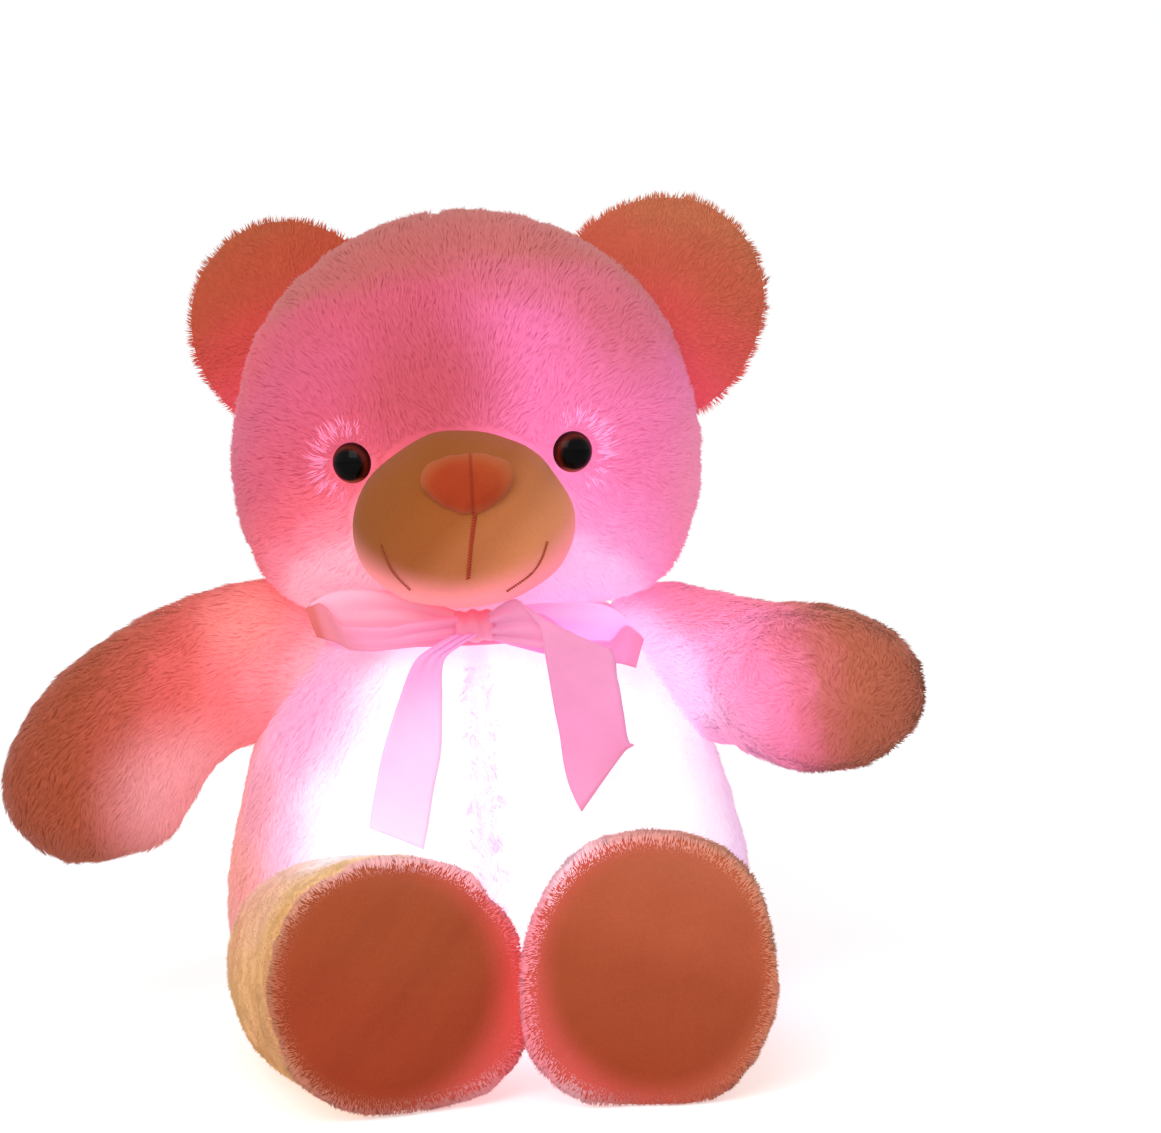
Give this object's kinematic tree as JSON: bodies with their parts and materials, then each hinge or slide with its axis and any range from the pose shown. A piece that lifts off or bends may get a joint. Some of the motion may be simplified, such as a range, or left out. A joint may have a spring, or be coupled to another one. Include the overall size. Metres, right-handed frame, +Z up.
{
  "type": "plush night light",
  "caption": "Seated stuffed toy bear with a ribbon bow, a light inside its chest and a battery pack in its back.",
  "frame": {"origin": "on the floor under the middle of the seat, at the body's centre line", "axes": "+Z up; -Y the way the bear faces; +X to the bear's own left"},
  "size_m": [0.3199, 0.2245, 0.2873],
  "materials": {
    "plush": "long soft pile",
    "plush_warm": "long soft pile",
    "sole_cloth": "short smooth pile",
    "muzzle_cloth": "short smooth pile",
    "nose_cloth": "smooth knit",
    "thread": "embroidery thread",
    "stuffing": "loose polyester fibre",
    "ribbon": "satin",
    "eye_plastic": "glossy",
    "washer_plastic": "matt",
    "lining_cloth": "plain woven",
    "hook_strip": "hook and loop",
    "pack_plastic": "satin",
    "button_plastic": "glossy",
    "cell_jacket": "printed jacket with no marking",
    "steel": "nickel plated",
    "board": "lacquered",
    "diffuser": "milky",
    "lamp": "clear",
    "lead_red": "smooth",
    "lead_black": "smooth"
  },
  "bodies": {
    "torso": {"battery_case": "pack_plastic", "battery_cell_1": "cell_jacket", "battery_cell_2": "cell_jacket", "battery_cell_3": "cell_jacket", "battery_pocket": "lining_cloth", "body_cover": "plush", "body_stuffing": "stuffing", "bow_knot": "ribbon", "bow_loop_left": "ribbon", "bow_loop_right": "ribbon", "cell_spring_1": "steel", "cell_spring_2": "steel", "cell_spring_3": "steel", "contact_high_end": "steel", "contact_high_pair": "steel", "contact_low_end": "steel", "contact_low_pair": "steel", "lamp_1": "lamp", "lamp_2": "lamp", "lamp_3": "lamp", "lamp_board": "board", "lead_black": "lead_black", "lead_red": "lead_red", "light_base": "pack_plastic", "light_diffuser": "diffuser", "loop_strip": "hook_strip", "ribbon_neck_band": "ribbon", "ribbon_tail_left": "ribbon", "ribbon_tail_right": "ribbon", "switch_board": "board", "switch_body": "eye_plastic"},
    "head": {"head_cover": "plush", "head_stuffing": "stuffing", "ear_left": "plush_warm", "ear_right": "plush_warm", "muzzle_cover": "muzzle_cloth", "muzzle_stuffing": "stuffing", "nose": "nose_cloth", "mouth_line": "thread", "smile_left": "thread", "smile_right": "thread", "eye_left": "eye_plastic", "eye_right": "eye_plastic", "eye_washer_left": "washer_plastic", "eye_washer_right": "washer_plastic"},
    "arm_left": {"arm_left_cover": "plush_warm", "arm_left_stuffing": "stuffing"},
    "arm_right": {"arm_right_cover": "plush_warm", "arm_right_stuffing": "stuffing"},
    "leg_left": {"leg_left_cover": "plush_warm", "leg_left_stuffing": "stuffing", "sole_left": "sole_cloth"},
    "leg_right": {"leg_right_cover": "plush_warm", "leg_right_stuffing": "stuffing", "sole_right": "sole_cloth"},
    "flap": {"back_flap": "plush", "hook_strip": "hook_strip"},
    "button": {"switch_button": "button_plastic"},
    "pack_cover": {"battery_cover": "pack_plastic", "cover_screw": "steel"}
  },
  "joints": [
    {"name": "head_turn", "type": "hinge", "parent": "torso", "child": "head", "pos_m": [0, 0, 0.148], "axis": [0, 0, 1], "range_deg": [-15, 15], "stiffness_Nm_per_rad": 3},
    {"name": "arm_left_swing", "type": "hinge", "parent": "torso", "child": "arm_left", "pos_m": [0.068, 0.004, 0.122], "axis": [0, 1, 0], "range_deg": [-25, 15], "stiffness_Nm_per_rad": 1.5},
    {"name": "arm_right_swing", "type": "hinge", "parent": "torso", "child": "arm_right", "pos_m": [-0.068, 0.004, 0.1262], "axis": [0, 1, 0], "range_deg": [-8, 25], "stiffness_Nm_per_rad": 1.5},
    {"name": "leg_left_swing", "type": "hinge", "parent": "torso", "child": "leg_left", "pos_m": [0.056, -0.058, 0.03263], "axis": [1, 0, 0], "range_deg": [-18, 20], "stiffness_Nm_per_rad": 1.5},
    {"name": "leg_right_swing", "type": "hinge", "parent": "torso", "child": "leg_right", "pos_m": [-0.058, -0.058, 0.03263], "axis": [1, 0, 0], "range_deg": [-18, 20], "stiffness_Nm_per_rad": 1.5},
    {"name": "flap_hinge", "type": "hinge", "parent": "torso", "child": "flap", "pos_m": [0, 0.0603, 0.09895], "axis": [1, 0, 0], "range_deg": [0, 90]},
    {"name": "button_press", "type": "slide", "parent": "torso", "child": "button", "axis": [0, -1, 0], "range_m": [0, 0.0015], "stiffness_N_per_m": 300},
    {"name": "battery_cover_lift", "type": "slide", "parent": "torso", "child": "pack_cover", "axis": [0, 1, 0], "range_m": [0, 0.005]}
  ]
}
